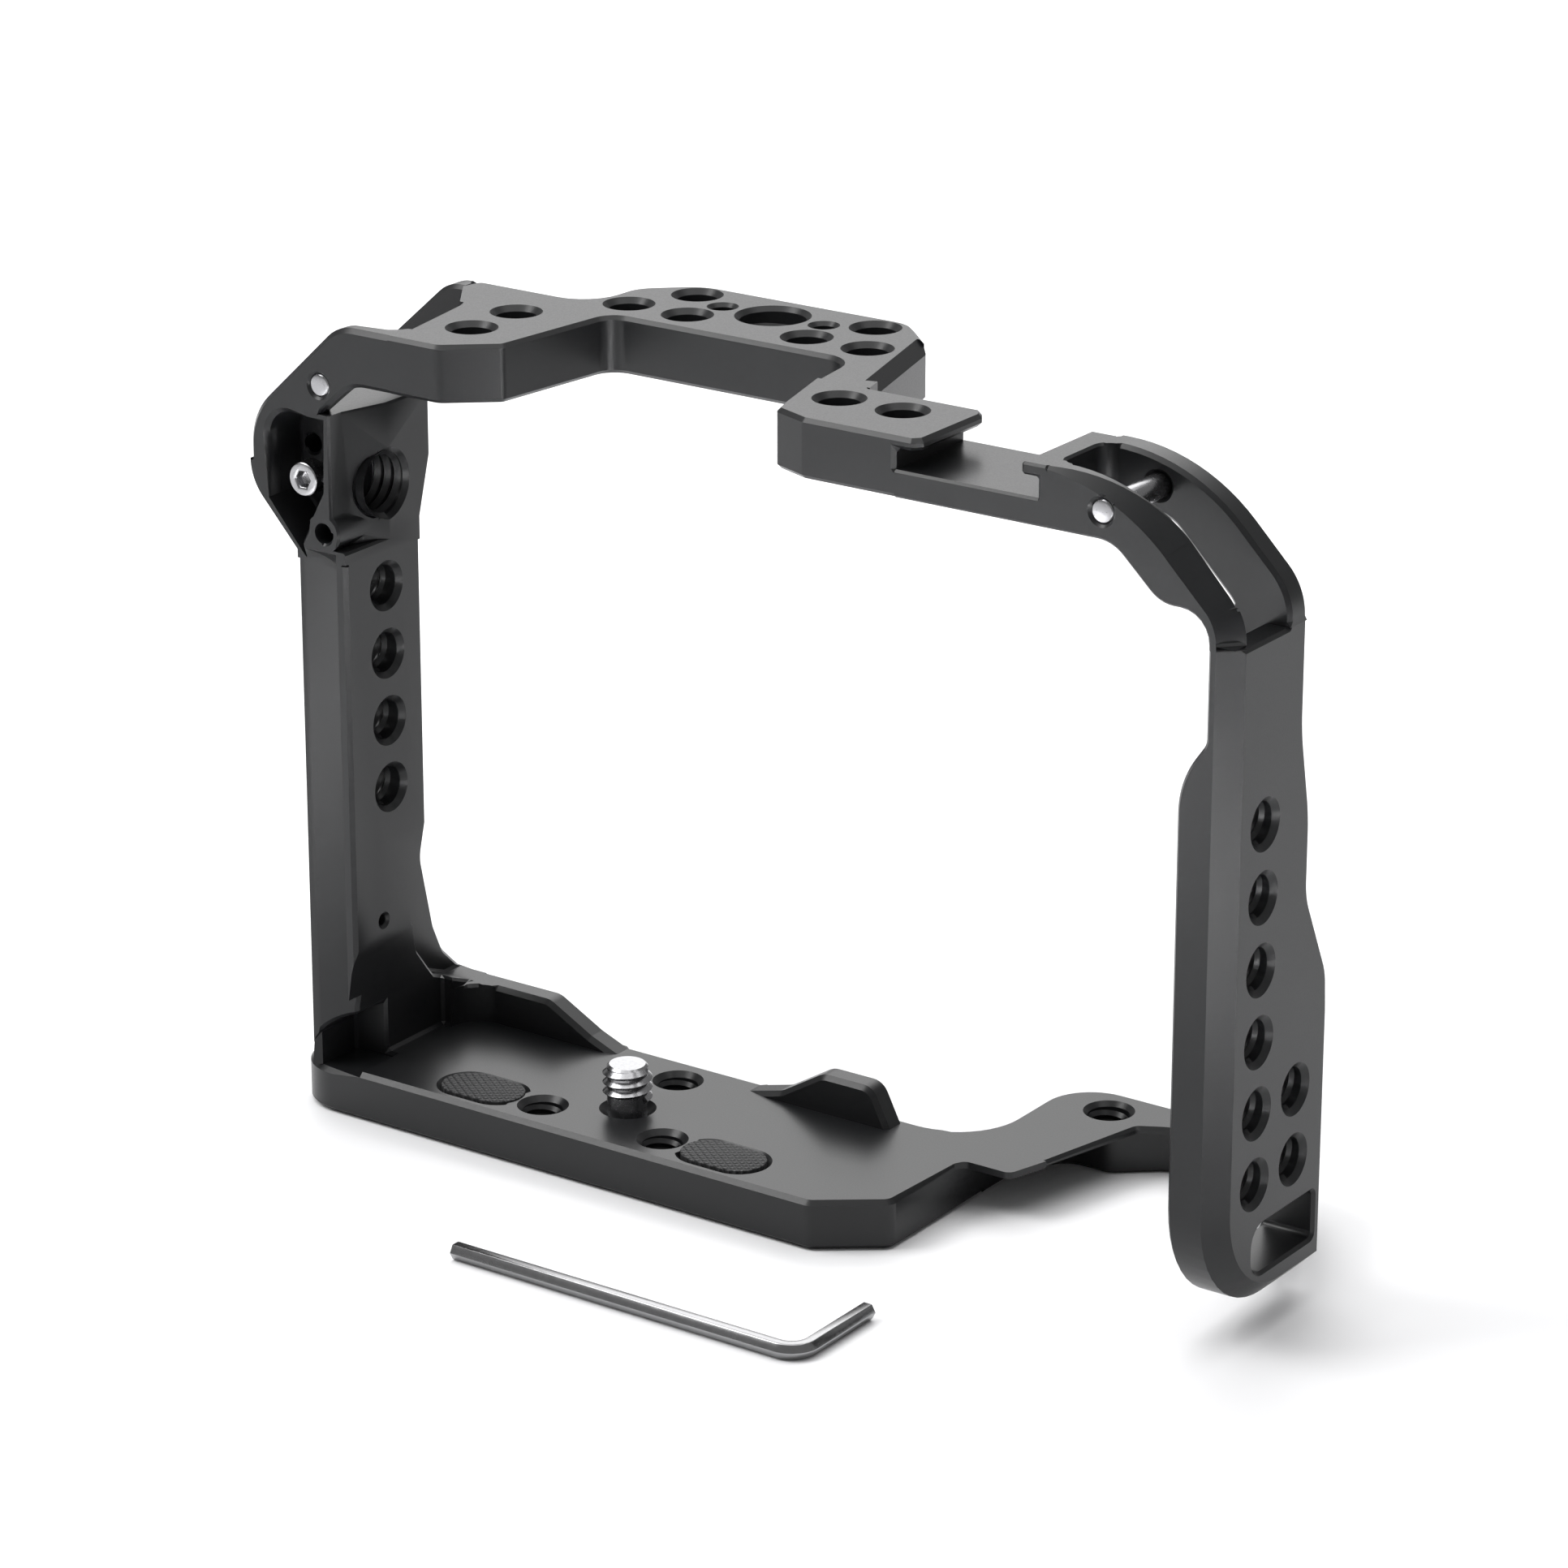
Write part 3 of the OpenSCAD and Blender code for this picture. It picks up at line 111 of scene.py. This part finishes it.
def grained_metal(name, dark, light, metallic, smooth, rough, grain_scale, grain_depth):
    """Metal whose tone and roughness drift slowly under a fine blasted grain."""
    material, tree_nodes, links, shader = new_material(name)
    shader.inputs["Metallic"].default_value = metallic
    grain = tree_nodes.new("ShaderNodeGroup")
    grain.node_tree = blast_grain
    grain.inputs["Grain scale"].default_value = grain_scale
    grain.inputs["Drift scale"].default_value = 90.0
    colour_mix(tree_nodes, links, grain.outputs["Tone"], dark, light, shader)
    gloss = tree_nodes.new("ShaderNodeMapRange")
    gloss.inputs["From Min"].default_value = 0.3
    gloss.inputs["From Max"].default_value = 0.7
    gloss.inputs["To Min"].default_value = smooth
    gloss.inputs["To Max"].default_value = rough
    links.new(grain.outputs["Height"], gloss.inputs["Value"])
    links.new(gloss.outputs["Result"], shader.inputs["Roughness"])
    bump = tree_nodes.new("ShaderNodeBump")
    bump.inputs["Strength"].default_value = 0.35
    bump.inputs["Distance"].default_value = grain_depth
    links.new(grain.outputs["Height"], bump.inputs["Height"])
    links.new(bump.outputs["Normal"], shader.inputs["Normal"])
    return material


anodised = grained_metal(
    "anodised_black",
    dark=(0.0085, 0.0088, 0.0096),
    light=(0.0115, 0.0119, 0.0129),
    metallic=0.0,
    smooth=0.28,
    rough=0.36,
    grain_scale=5200.0,
    grain_depth=0.00001,
)
anodised.node_tree.nodes["Principled BSDF"].inputs["Specular IOR Level"].default_value = 0.36


def surface_tree(mesh):
    """Search tree over a mesh's faces."""
    return BVHTree.FromPolygons(
        [vertex.co for vertex in mesh.vertices], [tuple(face.vertices) for face in mesh.polygons]
    )


solids = {name: surface_tree(nodes[name].data) for name in frame_chamfers}
touching = 0.00002


def meets_neighbour(own, point):
    """Whether a point of a member's edge lies on another member."""
    return any(
        tree.find_nearest(point, touching)[0] is not None
        for name, tree in solids.items()
        if name != own
    )


def select_only(piece):
    """Selects one object and makes it active."""
    bpy.ops.object.select_all(action="DESELECT")
    piece.select_set(True)
    bpy.context.view_layer.objects.active = piece


def new_object(name, data):
    """Object with the given data, linked to the scene."""
    thing = bpy.data.objects.new(name, data)
    bpy.context.scene.collection.objects.link(thing)
    return thing


def copied_solid(node, name):
    """Copy of a node's mesh as one joined surface with plain flat faces."""
    piece = new_object(name, nodes[node].data.copy())
    piece.data.materials.clear()
    select_only(piece)
    bpy.ops.object.mode_set(mode="EDIT")
    bpy.ops.mesh.select_all(action="SELECT")
    bpy.ops.mesh.remove_doubles(threshold=0.000002)
    bpy.ops.mesh.dissolve_limited(angle_limit=math.radians(0.6))
    bpy.ops.object.mode_set(mode="OBJECT")
    if piece.data.has_custom_normals:
        bpy.ops.mesh.customdata_custom_splitnormals_clear()
    return piece


edge_samples = 24
split_halvings = 12
shortest_split_edge = 0.001


def mark_chamfers(piece, least_turn, meets):
    """Gives weight to each sharp edge, splitting one that only partly meets a neighbour."""
    work = bmesh.new()
    work.from_mesh(piece.data)
    weight = work.edges.layers.float.get("bevel_weight_edge")
    if weight is None:
        weight = work.edges.layers.float.new("bevel_weight_edge")
    for edge in list(work.edges):
        if len(edge.link_faces) != 2 or edge.calc_face_angle() < least_turn:
            continue
        start, end = edge.verts
        origin, run = start.co.copy(), end.co - start.co
        hits = [meets(origin + run * ((i + 0.5) / edge_samples)) for i in range(edge_samples)]
        changes = [i for i in range(1, edge_samples) if hits[i] != hits[i - 1]]
        if run.length < shortest_split_edge or not changes:
            edge[weight] = 0.0 if sum(hits) * 2 > edge_samples else 1.0
            continue
        # Halving finds where the meeting starts or ends between two samples, and the rest of the
        # edge is split there.
        stretches, split_at = [edge], 0.0
        for i in changes:
            low, high = (i - 0.5) / edge_samples, (i + 0.5) / edge_samples
            for _ in range(split_halvings):
                middle = (low + high) / 2
                if meets(origin + run * middle) == hits[i - 1]:
                    low = middle
                else:
                    high = middle
            share = (high - split_at) / (1 - split_at)
            split = bmesh.utils.edge_split(stretches[-1], start, share)[1]
            stretches[-1] = next(part for part in split.link_edges if start in part.verts)
            stretches.append(next(part for part in split.link_edges if end in part.verts))
            start, split_at = split, high
        bounds = [0] + changes + [edge_samples]
        for stretch, low, high in zip(stretches, bounds, bounds[1:]):
            stretch[weight] = 0.0 if sum(hits[low:high]) * 2 > high - low else 1.0
    work.to_mesh(piece.data)
    work.free()


# A chamfer without room runs through its neighbours: a triangle of it lies off the solid by more
# than this many chamfer widths, or it is turned over and large enough to be seen.
largest_gap = 1.3
turned_over = -0.1
least_area = 4e-8


def astray(mesh, solid, width):
    """Corners of the triangles that stray from the solid or lie inside out."""
    spots = []
    mesh.calc_loop_triangles()
    for triangle in mesh.loop_triangles:
        corners = [mesh.vertices[v].co for v in triangle.vertices]
        _, normal, _, gap = solid.find_nearest(sum(corners, Vector()) / 3)
        flat = mesh.polygons[triangle.polygon_index].normal
        turned = min(normal.dot(triangle.normal), flat.dot(triangle.normal)) < turned_over
        if gap > largest_gap * width or (triangle.area > least_area and turned):
            spots.extend(corner.copy() for corner in corners)
    return spots


def is_near(edge, mesh, spots, reach):
    """Whether an edge of the mesh passes within reach of one of the spots."""
    start, end = (mesh.vertices[v].co for v in edge.vertices)
    run = end - start
    for spot in spots:
        along = min(1.0, max(0.0, (spot - start).dot(run) / run.length_squared))
        if (start + run * along - spot).length < reach:
            return True
    return False


chamfer_tries = 9
tries_on_short_edges = 4
short_edge = 0.004
fault_reach = 1.5


def chamfer(piece, width, segments):
    """Applies the marked chamfers but those without room, short ones given up first."""
    marked = piece.data
    solid = surface_tree(marked)
    weights = marked.attributes["bevel_weight_edge"].data
    reach = fault_reach * width
    for attempt in range(chamfer_tries):
        piece.data = marked.copy()
        select_only(piece)
        bpy.ops.object.modifier_add(type="BEVEL")
        bevel = piece.modifiers[-1]
        bevel.limit_method = "WEIGHT"
        bevel.width = width
        bevel.segments = segments
        bevel.use_clamp_overlap = False
        bevel.loop_slide = False
        bpy.ops.object.modifier_apply(modifier=bevel.name)
        spots = astray(piece.data, solid, width)
        if not spots:
            break
        for edge in marked.edges:
            start, end = (marked.vertices[v].co for v in edge.vertices)
            if attempt < tries_on_short_edges and (end - start).length > short_edge:
                continue
            if weights[edge.index].value > 0.0 and is_near(edge, marked, spots, reach):
                weights[edge.index].value = 0.0
    bpy.ops.object.shade_smooth_by_angle(angle=math.radians(28))


for name, width in frame_chamfers.items():
    member = copied_solid(name, name + "_finished")
    mark_chamfers(member, math.radians(50), lambda point, own=name: meets_neighbour(own, point))
    chamfer(member, width, segments=1)
    member.data.materials.append(anodised)
    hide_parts(name)
    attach(member, "frame")


# Threads of the accessory holes. Each bore is tapped with a quarter-inch thread and the two large
# ones with a three-eighths-inch thread, so a fine helical ridge runs down the wall of each hole.
bore_r = 0.0026
large_r = 0.0042
ridge_in = -0.00042
large_ridge_in = ridge_in * 1.3
quarter_pitch = 0.00127
eighths_pitch = 0.0015875


def helix(name, radius, reach, pitch, turns, steps):
    """Closed helical ridge round Z, from z = 0 up, standing from radius to radius + reach."""
    bpy.ops.object.select_all(action="DESELECT")
    bpy.ops.mesh.primitive_circle_add(vertices=3, radius=pitch / 2, fill_type="NOTHING")
    ridge = bpy.context.object
    ridge.name = name
    root = radius - math.copysign(0.00003, reach)
    half_foot = pitch * 0.42
    shape = ((root, -half_foot), (radius + reach, 0.0), (root, half_foot))
    for vertex, (out, rise) in zip(ridge.data.vertices, shape):
        vertex.co = (out, 0.0, rise)
    bpy.ops.object.modifier_add(type="SCREW")
    screw = ridge.modifiers[-1]
    screw.axis = "Z"
    screw.angle = math.tau
    screw.screw_offset = pitch
    screw.iterations = turns
    screw.steps = steps
    screw.render_steps = steps
    screw.use_merge_vertices = True
    screw.merge_threshold = 0.0000005
    bpy.ops.object.modifier_apply(modifier=screw.name)
    bpy.ops.object.mode_set(mode="EDIT")
    bpy.ops.mesh.select_all(action="SELECT")
    bpy.ops.mesh.fill_holes(sides=3)
    bpy.ops.mesh.normals_make_consistent(inside=False)
    bpy.ops.object.mode_set(mode="OBJECT")
    bpy.ops.object.shade_smooth_by_angle(angle=math.radians(35))
    return ridge


def threaded_holes(name, holes):
    """Copies a master ridge into each hole of one member and joins them as one piece."""
    copies = []
    for master, place, turn in holes:
        ridge = new_object(name, master.data.copy())
        ridge.data.transform(Matrix.Translation(place) @ turn)
        copies.append(ridge)
    select_only(copies[0])
    for ridge in copies:
        ridge.select_set(True)
    bpy.ops.object.join()
    piece = bpy.context.object
    piece.name = name
    piece.data.materials.clear()
    piece.data.materials.append(anodised)
    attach(piece, "frame")


quarter_thread = helix("quarter_thread", bore_r, ridge_in, quarter_pitch, turns=4, steps=40)
eighths_thread = helix("eighths_thread", large_r, large_ridge_in, eighths_pitch, turns=3, steps=56)
upright = Matrix.Identity(4)
along_x = Matrix.Rotation(math.radians(90), 4, "Y")
hole_step = 0.00895

ring_r = 0.0108
base_thread_z = -0.0058
ring_turns = [math.radians(degrees) for degrees in (90, 210, 330)]
base_places = [(ring_r * math.cos(turn), ring_r * math.sin(turn)) for turn in ring_turns]
base_places.append((0.0503, 0.0341))
threaded_holes(
    "base_threads", [(quarter_thread, (x, y, base_thread_z), upright) for x, y in base_places]
)

plate_z = 0.0916
plate_thread_z = plate_z + 0.0007
plate_large_thread_z = plate_z + 0.0009
plate_middle_x = 0.0057
plate_places = [(plate_middle_x + k * hole_step, 0.0183) for k in (-1, -2, 1, 2)]
plate_places += [(plate_middle_x + k * hole_step, 0.0266) for k in (-1.5, 1.5)]
plate_places += [(-0.0214, -0.0016 + k * hole_step) for k in (0, 1)]
threaded_holes(
    "top_threads",
    [(quarter_thread, (x, y, plate_thread_z), upright) for x, y in plate_places]
    + [(eighths_thread, (plate_middle_x, 0.0239, plate_large_thread_z), upright)],
)
threaded_holes(
    "shoe_threads",
    [
        (quarter_thread, (0.033 + k * hole_step, -0.0014, plate_thread_z), upright)
        for k in (0, 1)
    ],
)

column_row_y = -0.00285
threaded_holes(
    "left_threads",
    [
        (quarter_thread, (-0.0417, column_row_y, 0.03675 + k * hole_step), along_x)
        for k in range(4)
    ]
    + [(eighths_thread, (-0.0399, -0.00256, 0.0768), along_x)],
)
right_column_x = 0.0866
threaded_holes(
    "right_threads",
    [
        (quarter_thread, (right_column_x, row_y, 0.01415 + k * hole_step), along_x)
        for row_y, count in ((column_row_y, 6), (0.00605, 2))
        for k in range(count)
    ],
)
for master in (quarter_thread, eighths_thread):
    bpy.data.objects.remove(master)


# Captive tripod screw. It is turned from stainless steel: a slotted head under the base, a plain
# neck that lets it turn freely, and a short rolled thread with a chamfered tip above the plate.
turned_steel = grained_metal(
    "turned_steel",
    dark=(0.3, 0.3, 0.31),
    light=(0.38, 0.38, 0.39),
    metallic=1.0,
    smooth=0.2,
    rough=0.28,
    grain_scale=2500.0,
    grain_depth=0.000001,
)
thread_r = 0.003175
thread_core_r = 0.00262
thread_low = 0.0023
neck_r = 0.00252
tip_r = 0.0023
tip_low = 0.0058
first_ridge = 0.0029 - quarter_pitch
screw = copied_solid("tripod_screw", "tripod_screw_finished")
for vertex in screw.data.vertices:
    out = Vector((vertex.co.x, vertex.co.y)).length
    if vertex.co.z > thread_low - 0.00001 and out > neck_r:
        narrow = (thread_core_r if vertex.co.z < tip_low else tip_r) / out
        vertex.co.x *= narrow
        vertex.co.y *= narrow
    if abs(vertex.co.z - thread_low) < 0.0001:
        vertex.co.z -= quarter_pitch
mark_chamfers(screw, math.radians(50), lambda point: point.z > 0.001)
chamfer(screw, width=0.00025, segments=2)
screw_thread = helix(
    "tripod_screw_thread", thread_core_r, thread_r - thread_core_r, quarter_pitch, turns=3, steps=56
)
screw_thread.data.transform(Matrix.Translation((0, 0, first_ridge)))
for piece in (screw, screw_thread):
    piece.data.materials.clear()
    piece.data.materials.append(turned_steel)
    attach(piece, "tripod_screw")
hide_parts("tripod_screw")


# Lug screw and strap pins. The socket-head screw is bright stainless steel with rounded head edges;
# the pins are ground steel rods pressed through both strap walls, with softly rounded ends.
for node, name, width, body, slot in (
    ("lug_screw", "lug_screw_finished", 0.0003, "lug_screw", "stainless_steel"),
    ("left_strap_pin", "left_strap_pin_finished", 0.0004, "frame", "pin_steel"),
    ("right_strap_pin", "right_strap_pin_finished", 0.0004, "frame", "pin_steel"),
):
    piece = copied_solid(node, name)
    mark_chamfers(piece, math.radians(40), lambda point: False)
    chamfer(piece, width, segments=3)
    piece.data.materials.append(turned_steel)
    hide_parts(node)
    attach(piece, body)


# Rubber pads. Two moulded pads are glued into pockets in the base; a fine raised diamond pattern
# keeps the camera body from slipping.
pad_rubber, rubber_nodes, rubber_links, rubber_shader = new_material("pad_rubber")
rubber_shader.inputs["Roughness"].default_value = 0.55
rubber_place = rubber_nodes.new("ShaderNodeTexCoord")
lattice = rubber_nodes.new("ShaderNodeMath")
lattice.operation = "MINIMUM"
for side, turn in enumerate((0.62, -0.62)):
    mapping = rubber_nodes.new("ShaderNodeMapping")
    mapping.inputs["Rotation"].default_value = (0.0, 0.0, turn)
    rubber_links.new(rubber_place.outputs["Object"], mapping.inputs["Vector"])
    wave = rubber_nodes.new("ShaderNodeTexWave")
    wave.wave_type = "BANDS"
    wave.bands_direction = "Y"
    wave.inputs["Scale"].default_value = 380.0
    rubber_links.new(mapping.outputs["Vector"], wave.inputs["Vector"])
    rubber_links.new(wave.outputs["Fac"], lattice.inputs[side])
pattern = lattice.outputs["Value"]
# Painted shade and light: the colour follows the pattern's height, so its valleys are painted
# darker as shade and its ridges lighter as if lit; the rubber itself is one colour.
rubber_valley_painted_shade = (0.012, 0.012, 0.013)
rubber_ridge_painted_light = (0.05, 0.05, 0.052)
colour_mix(rubber_nodes, rubber_links, pattern, rubber_valley_painted_shade, rubber_ridge_painted_light, rubber_shader)
rubber_bump = rubber_nodes.new("ShaderNodeBump")
rubber_bump.inputs["Distance"].default_value = 0.0003
rubber_links.new(pattern, rubber_bump.inputs["Height"])
rubber_links.new(rubber_bump.outputs["Normal"], rubber_shader.inputs["Normal"])
for side in ("left", "right"):
    pad = copied_solid("rubber_pad_" + side, "rubber_pad_" + side + "_finished")
    mark_chamfers(pad, math.radians(40), lambda point: point.z < 0)
    chamfer(pad, width=0.00015, segments=2)
    pad.data.materials.append(pad_rubber)
    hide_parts("rubber_pad_" + side)
    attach(pad, "frame")


# Hex key. A nickel-plated steel bar, hexagonal all along, bent cold to a short arm and chamfered at
# both ends. It lies loose in front of the cage.
key_metal = grained_metal(
    "key_nickel",
    dark=(0.27, 0.27, 0.275),
    light=(0.33, 0.33, 0.335),
    metallic=1.0,
    smooth=0.2,
    rough=0.26,
    grain_scale=1800.0,
    grain_depth=0.000001,
)
key_low, key_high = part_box("hex_key")
key_flat = 0.002
key_r = key_flat / 2 / math.cos(math.radians(30))
key_z = key_low.z + key_flat / 2
key_y = key_low.y + key_r
bend_r = 0.0028
bend_x = key_high.x - key_r - bend_r
bpy.ops.object.select_all(action="DESELECT")
bpy.ops.mesh.primitive_circle_add(
    vertices=6,
    radius=key_r,
    fill_type="NGON",
    location=(key_low.x, key_y, key_z),
    rotation=(0, math.radians(90), 0),
)
key = bpy.context.object
key.name = "hex_key_finished"
bpy.ops.object.transform_apply(location=True, rotation=True, scale=True)
bpy.ops.object.mode_set(mode="EDIT")
bpy.ops.mesh.select_all(action="SELECT")
bpy.ops.mesh.extrude_region_move(TRANSFORM_OT_translate={"value": (bend_x - key_low.x, 0, 0)})
bpy.ops.mesh.spin(
    steps=10, angle=math.radians(90), center=(bend_x, key_y + bend_r, key_z), axis=(0, 0, -1)
)
bpy.ops.mesh.extrude_region_move(
    TRANSFORM_OT_translate={"value": (0, key_high.y - key_y - bend_r, 0)}
)
bpy.ops.mesh.select_all(action="SELECT")
bpy.ops.mesh.remove_doubles(threshold=0.000001)
bpy.ops.mesh.normals_make_consistent(inside=False)
bpy.ops.object.mode_set(mode="OBJECT")
mark_chamfers(key, math.radians(30), lambda point: False)
chamfer(key, width=0.00012, segments=2)
key.data.materials.append(key_metal)
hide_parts("hex_key")
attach(key, "hex_key")


# Photograph's setting: a plain pale floor, soft light from above, from the left and from behind,
# two spots of light on the floor before the cage, which its black faces mirror, and the camera at
# the photograph's own angle.
floor_material, floor_nodes, floor_links, floor_shader = new_material("pale_floor")
floor_shader.inputs["Base Color"].default_value = (0.93, 0.93, 0.94, 1.0)
floor_shader.inputs["Roughness"].default_value = 0.85
floor_shader.inputs["Specular IOR Level"].default_value = 0.1
bpy.ops.object.select_all(action="DESELECT")
bpy.ops.mesh.primitive_plane_add(size=8.0, location=(0, 0, -0.0066))
floor = bpy.context.object
floor.name = "floor"
floor.data.materials.append(floor_material)

world = bpy.data.worlds.new("studio")
bpy.context.scene.world = world
world.use_nodes = True
background = world.node_tree.nodes["Background"]
background.inputs["Color"].default_value = (1.0, 1.0, 1.0, 1.0)
background.inputs["Strength"].default_value = 0.3
bpy.context.scene.view_settings.view_transform = "Standard"


def soft_light(name, place, aim, size, power):
    """Square soft light pointed at a place."""
    data = bpy.data.lights.new(name, "AREA")
    data.size = size
    data.energy = power
    lamp = new_object(name, data)
    lamp.location = place
    lamp.rotation_euler = (Vector(aim) - Vector(place)).to_track_quat("-Z", "Y").to_euler()


soft_light("overhead", (-0.1, 0.2, 1.4), (0.02, 0.0, 0.0), size=1.8, power=20.0)
soft_light("left_high", (-0.6, -0.45, 0.85), (0.02, 0.0, 0.05), size=0.5, power=6.0)
soft_light("backdrop", (-0.9, 1.3, 0.9), (-0.9, 1.3, 0.0), size=1.6, power=16.0)
soft_light("back_panel", (-0.75, 1.05, 0.62), (0.02, 0.0, 0.05), size=0.8, power=1.4)
for side, x, y, power in (("right", 0.2, -0.14, 36.0), ("left", -0.06, -0.17, 12.0)):
    data = bpy.data.lights.new("floor_glow_" + side, "SPOT")
    data.energy = power
    data.spot_size = math.radians(40)
    data.spot_blend = 1.0
    data.shadow_soft_size = 0.03
    lamp = new_object("floor_glow_" + side, data)
    lamp.location = (x, y, 0.25)

camera_data = bpy.data.cameras.new("photo_camera")
camera_data.sensor_width = 36.0
camera_data.lens = 131.18
camera_data.clip_start = 0.01
camera_data.clip_end = 20.0
camera = new_object("photo_camera", camera_data)
camera.location = (0.39729, -0.53298, 0.28538)
camera.rotation_euler = (math.radians(70), 0.0, math.radians(35))
bpy.context.scene.camera = camera
